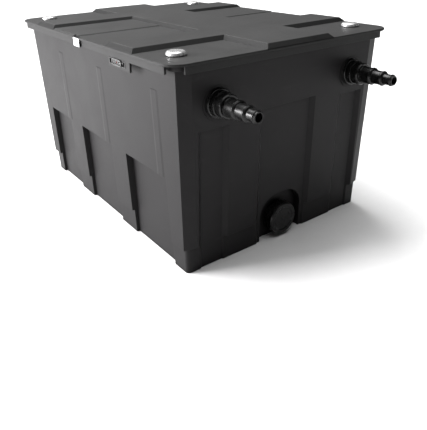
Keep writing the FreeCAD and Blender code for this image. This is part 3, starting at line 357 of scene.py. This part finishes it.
def ink(name, colour):
    """Thin printed ink that lets the grain of the card through."""
    material, tree, shader = begin(name, Specular_IOR_Level=0.3)
    where = place_of(tree)
    grain = noise_of(tree, where, 1800, detail=3)
    tree.links.new(mixed(tree, grain, colour, darker(colour, 0.6)), shader.inputs["Base Color"])
    tree.links.new(remap(tree, grain, 0.2, 0.8, 0.45, 0.7), shader.inputs["Roughness"])
    bumps(tree, shader, [(grain, 0.01 * MM)])
    return material


def open_cell_foam(name, shade, lit):
    """Reticulated foam: dark pores between pale struts at two scales."""
    material, tree, shader = begin(name, Specular_IOR_Level=0.2, Sheen_Weight=0.25, Sheen_Roughness=0.6)
    where = place_of(tree)
    pores = cells_of(tree, where, 1 / FOAM_PORE)
    small = cells_of(tree, where, 2.3 / FOAM_PORE)
    stain = noise_of(tree, where, 18, detail=5, roughness=0.6)
    strut = remap(tree, pores, 0.15, 0.75, 0.0, 1.0)
    tone = mixed(tree, strut, shade, lit)
    tone = mixed(tree, remap(tree, small, 0.1, 0.5, 0.5, 0.0), tone, darker(shade, 0.4))
    tone = mixed(tree, remap(tree, stain, 0.5, 0.8, 0.0, 0.35), tone, (0.10, 0.085, 0.05, 1.0))
    tree.links.new(tone, shader.inputs["Base Color"])
    tree.links.new(remap(tree, stain, 0.3, 0.7, 0.82, 0.97), shader.inputs["Roughness"])
    bumps(tree, shader, [(strut, 0.9 * MM), (small, 0.4 * MM)])
    return material


def fibre_mat(name):
    """Resin-bonded curly fibre."""
    material, tree, shader = begin(name, Specular_IOR_Level=0.25, Sheen_Weight=0.2)
    where = place_of(tree)
    curls = noise_of(tree, where, 150, detail=4, roughness=0.7, distortion=3.0)
    threads = noise_of(tree, stretched(tree, where, 6, 1, 3, turn=0.7), 130, detail=5, distortion=2.0)
    weave = math_of(tree, "MULTIPLY", curls, threads)
    tone = mixed(tree, remap(tree, weave, 0.16, 0.36, 0.0, 1.0), (0.012, 0.05, 0.03, 1.0),
                 (0.12, 0.30, 0.19, 1.0))
    tree.links.new(tone, shader.inputs["Base Color"])
    tree.links.new(remap(tree, curls, 0.3, 0.7, 0.6, 0.9), shader.inputs["Roughness"])
    bumps(tree, shader, [(weave, 2.0 * MM), (threads, 0.5 * MM)])
    return material


def studio_floor(name):
    """Plain pale paper."""
    material, tree, shader = begin(name, Specular_IOR_Level=0.15)
    where = place_of(tree)
    fine = noise_of(tree, where, 40, detail=4)
    tree.links.new(mixed(tree, fine, grey(0.80), grey(0.84)), shader.inputs["Base Color"])
    tree.links.new(remap(tree, fine, 0.3, 0.7, 0.7, 0.85), shader.inputs["Roughness"])
    return material


def all_materials():
    """One material for each slot of the record, and a few that only new pieces use."""
    warm = (1.03, 0.98, 1.02)
    return {
        "tub_plastic": moulded_plastic("tub_plastic", grey(0.009, warm), grey(0.013, warm), (0.42, 0.52),
                                       1400, 0.06 * MM, scuff=0.5, dust=0.03, specular=0.10),
        # The lid's lit top tone is painted light on its upward faces.
        "lid_plastic": moulded_plastic("lid_plastic", grey(0.010), grey(0.014), (0.50, 0.60),
                                       900, 0.09 * MM, scuff=0.6, dust=0.05, specular=0.16,
                                       lit_top_tone=grey(0.039)),
        "fitting_plastic": glossy_plastic("fitting_plastic", grey(0.003), grey(0.006), (0.22, 0.32)),
        "gloss_black": glossy_plastic("gloss_black", grey(0.004), grey(0.008), (0.12, 0.20)),
        "inner_plastic": moulded_plastic("inner_plastic", grey(0.030), grey(0.045), (0.42, 0.55),
                                         1100, 0.07 * MM, scuff=0.5, dust=0.1),
        "carrier_red": glossy_plastic("carrier_red", (0.36, 0.014, 0.010, 1.0), (0.50, 0.030, 0.020, 1.0),
                                      (0.25, 0.36)),
        "ball_plastic": moulded_plastic("ball_plastic", (0.015, 0.045, 0.12, 1.0),
                                        (0.030, 0.075, 0.18, 1.0), (0.40, 0.52), 900, 0.05 * MM,
                                        scuff=0.3, dust=0.1),
        "seal_rubber": rubber("seal_rubber"),
        "brass": metal("brass", (0.52, 0.36, 0.13, 1.0), (0.72, 0.54, 0.24, 1.0), (0.22, 0.34), 0.15),
        "chrome": metal("chrome", (0.80, 0.81, 0.83, 1.0), (0.92, 0.92, 0.93, 1.0), (0.06, 0.14), 0.06),
        # Painted reflection: part of this nickel is a near-white diffuse colour, so the screw heads come
        # out white as if reflecting the bright surround.
        "nickel_painted_reflection": metal("nickel_painted_reflection", grey(0.72), grey(0.84), (0.20, 0.30), 0.06, metallic=0.7),
        "dial": printed_dial("dial"),
        "bezel": metal("bezel", grey(0.045), grey(0.070), (0.30, 0.42), 0.08),
        "clear": clear_lens("clear"),
        "foam_blue": open_cell_foam("foam_blue", (0.006, 0.035, 0.12, 1.0), (0.05, 0.20, 0.48, 1.0)),
        "foam_black": open_cell_foam("foam_black", (0.006, 0.006, 0.007, 1.0), (0.060, 0.060, 0.064, 1.0)),
        "mat_fibre": fibre_mat("mat_fibre"),
    }


MATERIALS = all_materials()
INK_DARK = ink("dial_ink", (0.004, 0.004, 0.005, 1.0))
INK_RED = ink("needle_ink", (0.55, 0.02, 0.01, 1.0))


def slot_of(node):
    """Material slot that the record gives a CAD node."""
    for part in frame["record"]["subparts"]:
        if part["node"] == node:
            return part["material_slot"]
    raise KeyError(node)


def look_of(node):
    """Material name of a CAD node: its slot, except for two chromed pieces with a duller finish; the lid
    screws' nickel also carries a painted white reflection in its colour.
    """
    if node == "thermometer_bezel":
        return "bezel"
    if node.startswith("lid_screw"):
        return "nickel_painted_reflection"
    return slot_of(node)


def dress_frame():
    """Give every CAD node its detailed material."""
    for name, thing in frame["nodes"].items():
        thing.data.materials.clear()
        thing.data.materials.append(MATERIALS[look_of(name)])


# ---------------------------------------------------------------- mesh helpers

def finish_mesh(name, mesh, material, smooth_below=40):
    """Turn a bmesh into an object whose edges are smooth up to an angle in degrees."""
    bmesh.ops.recalc_face_normals(mesh, faces=mesh.faces)
    data = bpy.data.meshes.new(name)
    mesh.to_mesh(data)
    mesh.free()
    thing = bpy.data.objects.new(name, data)
    bpy.context.scene.collection.objects.link(thing)
    data.materials.append(material)
    data.shade_smooth()
    data.set_sharp_from_angle(angle=math.radians(smooth_below))
    return thing


def join_loops(mesh, loops, closed=True):
    """Faces between neighbouring loops of vertices; closed also joins the last loop to the first."""
    count = len(loops)
    for i in range(count if closed else count - 1):
        first, second = loops[i], loops[(i + 1) % count]
        size = len(first)
        for j in range(size):
            k = (j + 1) % size
            mesh.faces.new((first[j], first[k], second[k], second[j]))


def rounded_outline(half_x, half_y, corner, step):
    """Points round a rectangle with round corners, about one step apart, anticlockwise."""
    def heading(angle):
        return Vector((math.cos(angle), math.sin(angle)))

    quarter = math.pi / 2
    turns = max(3, round(corner * quarter / step))
    points = []
    for side, (sign_x, sign_y, half) in enumerate(((1, 1, half_x), (-1, 1, half_y),
                                                   (-1, -1, half_x), (1, -1, half_y))):
        angle = side * quarter
        centre = Vector((sign_x * (half_x - corner), sign_y * (half_y - corner)))
        points += [centre + corner * heading(angle + quarter * i / turns) for i in range(turns)]
        length = 2 * (half - corner)
        runs = max(1, round(length / step))
        start = centre + corner * heading(angle + quarter)
        points += [start + heading(angle + 2 * quarter) * length * i / runs for i in range(runs)]
    return points


def unevenness(place, skin):
    """Noise at a place, summed over the pairs (cells per metre, share) of a skin."""
    return sum(share * noise.noise(place * cells) for cells, share in skin)


# ---------------------------------------------------------------- foam cartridges

def foam_block(number):
    """Rounded block of cut foam with a hole for the carrier's rod and a slightly uneven skin."""
    node = f"foam_{number}"
    low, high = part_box(node)
    middle = (low + high) / 2
    half = (high - low) / 2
    outline = rounded_outline(half.x - FOAM_GAP, half.y - FOAM_GAP, FOAM_CORNER, FOAM_STEP)
    mesh = bmesh.new()
    loops = []

    def loop(share, z, pull=0.0):
        ring = []
        for point in outline:
            inner = point.normalized() * FOAM_HOLE
            spot = inner.lerp(point - point.normalized() * pull, share)
            ring.append(mesh.verts.new((middle.x + spot.x, middle.y + spot.y, z)))
        loops.append(ring)

    for i in range(FOAM_RINGS):
        loop(i / FOAM_RINGS, low.z)
    for i in range(ROUND_STEPS):
        a = math.pi / 2 * i / ROUND_STEPS
        loop(1, low.z + FOAM_ROUND * (1 - math.cos(a)), FOAM_ROUND * (1 - math.sin(a)))
    for i in range(FOAM_LEVELS + 1):
        loop(1, low.z + FOAM_ROUND + (2 * half.z - 2 * FOAM_ROUND) * i / FOAM_LEVELS)
    for i in range(1, ROUND_STEPS):
        rise = FOAM_ROUND * (1 - math.cos(math.pi / 2 * i / ROUND_STEPS))
        loop(1, high.z - rise, rise)
    for i in range(FOAM_RINGS, -1, -1):
        loop(i / FOAM_RINGS, high.z)
    hole_levels = FOAM_LEVELS // 4
    for i in range(1, hole_levels):
        loop(0, high.z - 2 * half.z * i / hole_levels)
    join_loops(mesh, loops)
    for vertex in mesh.verts:
        inward = Vector((middle.x - vertex.co.x, middle.y - vertex.co.y, 0))
        if inward.length > 2 * FOAM_HOLE:
            vertex.co += inward.normalized() * (FOAM_SINK + FOAM_UNEVEN * unevenness(vertex.co, FOAM_SKIN))
    block = finish_mesh(f"foam_block_{number}", mesh, MATERIALS[slot_of(node)], smooth_below=70)
    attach(block, f"foam_cartridge_{number}")
    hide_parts(node)


# ---------------------------------------------------------------- media basket contents

def mat_slab(name):
    """Fibre mat: a slab whose faces are ruffled by coarse fibre."""
    low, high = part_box(name)
    middle = (low + high) / 2
    half = (high - low) / 2
    outline = rounded_outline(half.x - MM, half.y - MM, MAT_CORNER, FOAM_STEP)
    mesh = bmesh.new()
    loops = []

    def loop(share, z):
        loops.append([mesh.verts.new((middle.x + p.x * share, middle.y + p.y * share, z)) for p in outline])

    for i in range(1, MAT_RINGS):
        loop(i / MAT_RINGS, low.z + MM)
    for i in range(MAT_LEVELS + 1):
        loop(1, low.z + MM + (2 * half.z - 2 * MM) * i / MAT_LEVELS)
    for i in range(MAT_RINGS - 1, 0, -1):
        loop(i / MAT_RINGS, high.z - MM)
    join_loops(mesh, loops, closed=False)
    for ring, turn in ((loops[0], -1), (loops[-1], 1)):
        mesh.faces.new(ring[::turn])
    for vertex in mesh.verts:
        towards = middle - vertex.co
        towards.z *= 4
        vertex.co += towards.normalized() * (MAT_SINK + MAT_UNEVEN * unevenness(vertex.co, MAT_SKIN))
    slab = finish_mesh(name + "_fibre", mesh, MATERIALS["mat_fibre"], smooth_below=80)
    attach(slab, "media_basket")
    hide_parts(name)


def ball_parts(mesh, centre, radius, turn):
    """Bio ball: upright fins round a core, tied by an equator ring and two smaller rings."""
    def put(x, y, z):
        return mesh.verts.new(centre + turn @ Vector((x, y, z)))

    core_radius = BALL_CORE * radius
    for fin in range(BALL_FINS):
        around = 2 * math.pi * fin / BALL_FINS
        out = Vector((math.cos(around), math.sin(around), 0))
        side = Vector((-out.y, out.x, 0)) * BALL_SHEET / 2
        front, back = [], []
        rim = [(radius * math.cos(a), radius * math.sin(a))
               for a in (math.pi * (i / FIN_STEPS - 0.5) for i in range(FIN_STEPS + 1))]
        rim = [(max(r, core_radius), h) for r, h in rim]
        core = [(core_radius, h) for _, h in rim]
        for sign, sheet in ((1, front), (-1, back)):
            for r, h in rim:
                p = out * r + side * sign
                sheet.append(put(p.x, p.y, h))
            for r, h in reversed(core[1:-1]):
                p = out * r + side * sign
                sheet.append(put(p.x, p.y, h))
        mesh.faces.new(front)
        mesh.faces.new(back[::-1])
        count = len(front)
        for i in range(count):
            k = (i + 1) % count
            mesh.faces.new((front[i], back[i], back[k], front[k]))
    for height, reach in BALL_RINGS:
        rings = []
        inner = RING_INNER * reach
        for r, h in ((inner, -0.5), (reach, -0.5), (reach, 0.5), (inner, 0.5)):
            rings.append([put(radius * r * math.cos(a), radius * r * math.sin(a),
                              radius * height + h * BALL_SHEET)
                          for a in (2 * math.pi * i / RING_POINTS for i in range(RING_POINTS))])
        join_loops(mesh, rings)


def bio_balls():
    """Every ball of the CAD node becomes a finned ball with its own random turn."""
    low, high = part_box("bio_balls")
    inset = Vector((BALL_RADIUS, BALL_RADIUS, BALL_RADIUS))
    first = low + inset
    span = high - inset - first
    mesh = bmesh.new()
    for layer in range(BALL_LAYERS):
        for row in range(BALL_ROWS):
            for column in range(BALL_COLUMNS):
                centre = first + Vector((span.x * column / (BALL_COLUMNS - 1),
                                         span.y * row / (BALL_ROWS - 1),
                                         span.z * layer / (BALL_LAYERS - 1)))
                spin = Matrix.Rotation(random.uniform(0, 6.28), 3, "Z")
                tilt = random.uniform(0, 6.28)
                axis = Vector((random.random(), random.random(), 0.3)).normalized()
                ball_parts(mesh, centre, BALL_RADIUS - BALL_PLAY, spin @ Matrix.Rotation(tilt, 3, axis))
    balls = finish_mesh("bio_ball_cages", mesh, MATERIALS["ball_plastic"], smooth_below=35)
    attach(balls, "media_basket")
    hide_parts("bio_balls")


# ---------------------------------------------------------------- thermometer print

def dial_marks():
    """Scale of a round-ended thermometer: short and long ticks and a needle, printed on the dial."""
    low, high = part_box("thermometer_dial")
    face = low.x - PRINT_HEIGHT
    middle_y = (low.y + high.y) / 2
    base = low.z + BASE_RISE
    reach = (high.y - low.y) / 2 - BASE_INSET

    def bar(mesh, y0, z0, y1, z1, width):
        along = Vector((0, y1 - y0, z1 - z0))
        across = along.cross(Vector((1, 0, 0))).normalized() * width / 2
        corners = [Vector((face, y0, z0)) - across, Vector((face, y0, z0)) + across,
                   Vector((face, y1, z1)) + across, Vector((face, y1, z1)) - across]
        outer = [mesh.verts.new(c) for c in corners]
        inner = [mesh.verts.new(c + Vector((PRINT_DEPTH, 0, 0))) for c in corners]
        mesh.faces.new(outer)
        mesh.faces.new(inner[::-1])
        for i in range(4):
            k = (i + 1) % 4
            mesh.faces.new((outer[i], outer[k], inner[k], inner[i]))

    ticks = bmesh.new()
    for i in range(TICKS + 1):
        y = middle_y - reach + 2 * reach * i / TICKS
        tall = TICK_LONG if i % TICK_EVERY == 0 else TICK_SHORT
        bar(ticks, y, base, y, base + tall, TICK_WIDTH)
    bar(ticks, middle_y - reach, base, middle_y + reach, base, BASE_WIDTH)
    scale = finish_mesh("thermometer_scale", ticks, INK_DARK)
    pointer = bmesh.new()
    bar(pointer, middle_y + NEEDLE_FOOT[0], base + NEEDLE_FOOT[1],
        middle_y + NEEDLE_TIP[0], base + NEEDLE_TIP[1], NEEDLE_WIDTH)
    needle = finish_mesh("thermometer_needle", pointer, INK_RED)
    for piece in (scale, needle):
        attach(piece, "lid")


# ---------------------------------------------------------------- stage

def stage_floor():
    """Large level sheet just under the tub."""
    mesh = bmesh.new()
    corners = [(-FLOOR_HALF, -FLOOR_HALF), (FLOOR_HALF, -FLOOR_HALF), (FLOOR_HALF, FLOOR_HALF),
               (-FLOOR_HALF, FLOOR_HALF)]
    mesh.faces.new([mesh.verts.new((x, y, -FLOOR_DROP)) for x, y in corners])
    floor = finish_mesh("studio_floor", mesh, studio_floor("studio_floor"))


def area_light(name, place, target, width, height, power, tint):
    """Rectangular soft box at a place, turned towards a target."""
    data = bpy.data.lights.new(name, "AREA")
    data.shape = "RECTANGLE"
    data.size = width
    data.size_y = height
    data.energy = power
    data.color = tint
    lamp = bpy.data.objects.new(name, data)
    lamp.location = place
    lamp.rotation_euler = (Vector(target) - Vector(place)).to_track_quat("-Z", "Y").to_euler()
    bpy.context.scene.collection.objects.link(lamp)


def wide_sun(name, towards, strength, angle):
    """Even light from a patch of sky, as wide as the angle in degrees."""
    data = bpy.data.lights.new(name, "SUN")
    data.energy = strength
    data.angle = math.radians(angle)
    lamp = bpy.data.objects.new(name, data)
    lamp.rotation_euler = Vector(towards).to_track_quat("Z", "Y").to_euler()
    bpy.context.scene.collection.objects.link(lamp)


def studio_light():
    """Large soft box on the left, wide light from behind and above, and a pale surround."""
    area_light("key_left", KEY_PLACE, KEY_TARGET, KEY_WIDTH, KEY_HEIGHT, KEY_POWER, KEY_TINT)
    wide_sun("sky_back", *SKY_BACK)
    wide_sun("sky_top", *SKY_TOP)
    world = bpy.data.worlds.new("studio")
    world.use_nodes = True
    tree = world.node_tree
    background = tree.nodes["Background"]
    background.inputs["Color"].default_value = (1.0, 1.0, 1.0, 1.0)
    seen = add(tree, "LightPath").outputs["Is Camera Ray"]
    tree.links.new(remap(tree, seen, 0.0, 1.0, SURROUND_LIGHT, 1.0), background.inputs["Strength"])
    bpy.context.scene.world = world


def camera():
    """Camera at the photograph's angle: yaw from +Y towards +X, pitch down, then roll."""
    yaw, pitch, roll = (math.radians(a) for a in (CAMERA_YAW, CAMERA_PITCH, CAMERA_ROLL))
    ahead = Vector((math.sin(yaw) * math.cos(pitch), math.cos(yaw) * math.cos(pitch), -math.sin(pitch)))
    level = Vector((math.cos(yaw), -math.sin(yaw), 0))
    upright = level.cross(ahead)
    right = level * math.cos(roll) + upright * math.sin(roll)
    up = upright * math.cos(roll) - level * math.sin(roll)
    data = bpy.data.cameras.new("camera")
    data.lens = CAMERA_LENS
    data.shift_y = CAMERA_SHIFT
    data.clip_start = 0.01
    eye = bpy.data.objects.new("camera", data)
    turn = Matrix((right, up, -ahead)).transposed()
    eye.matrix_world = Matrix.Translation(CAMERA_PLACE) @ turn.to_4x4()
    bpy.context.scene.collection.objects.link(eye)
    bpy.context.scene.camera = eye


# ---------------------------------------------------------------- build

dress_frame()
for cartridge in range(1, 5):
    foam_block(cartridge)
mat_slab("filter_mat_lower")
mat_slab("filter_mat_upper")
bio_balls()
dial_marks()
stage_floor()
studio_light()
camera()
bpy.context.scene.view_settings.view_transform = "Standard"
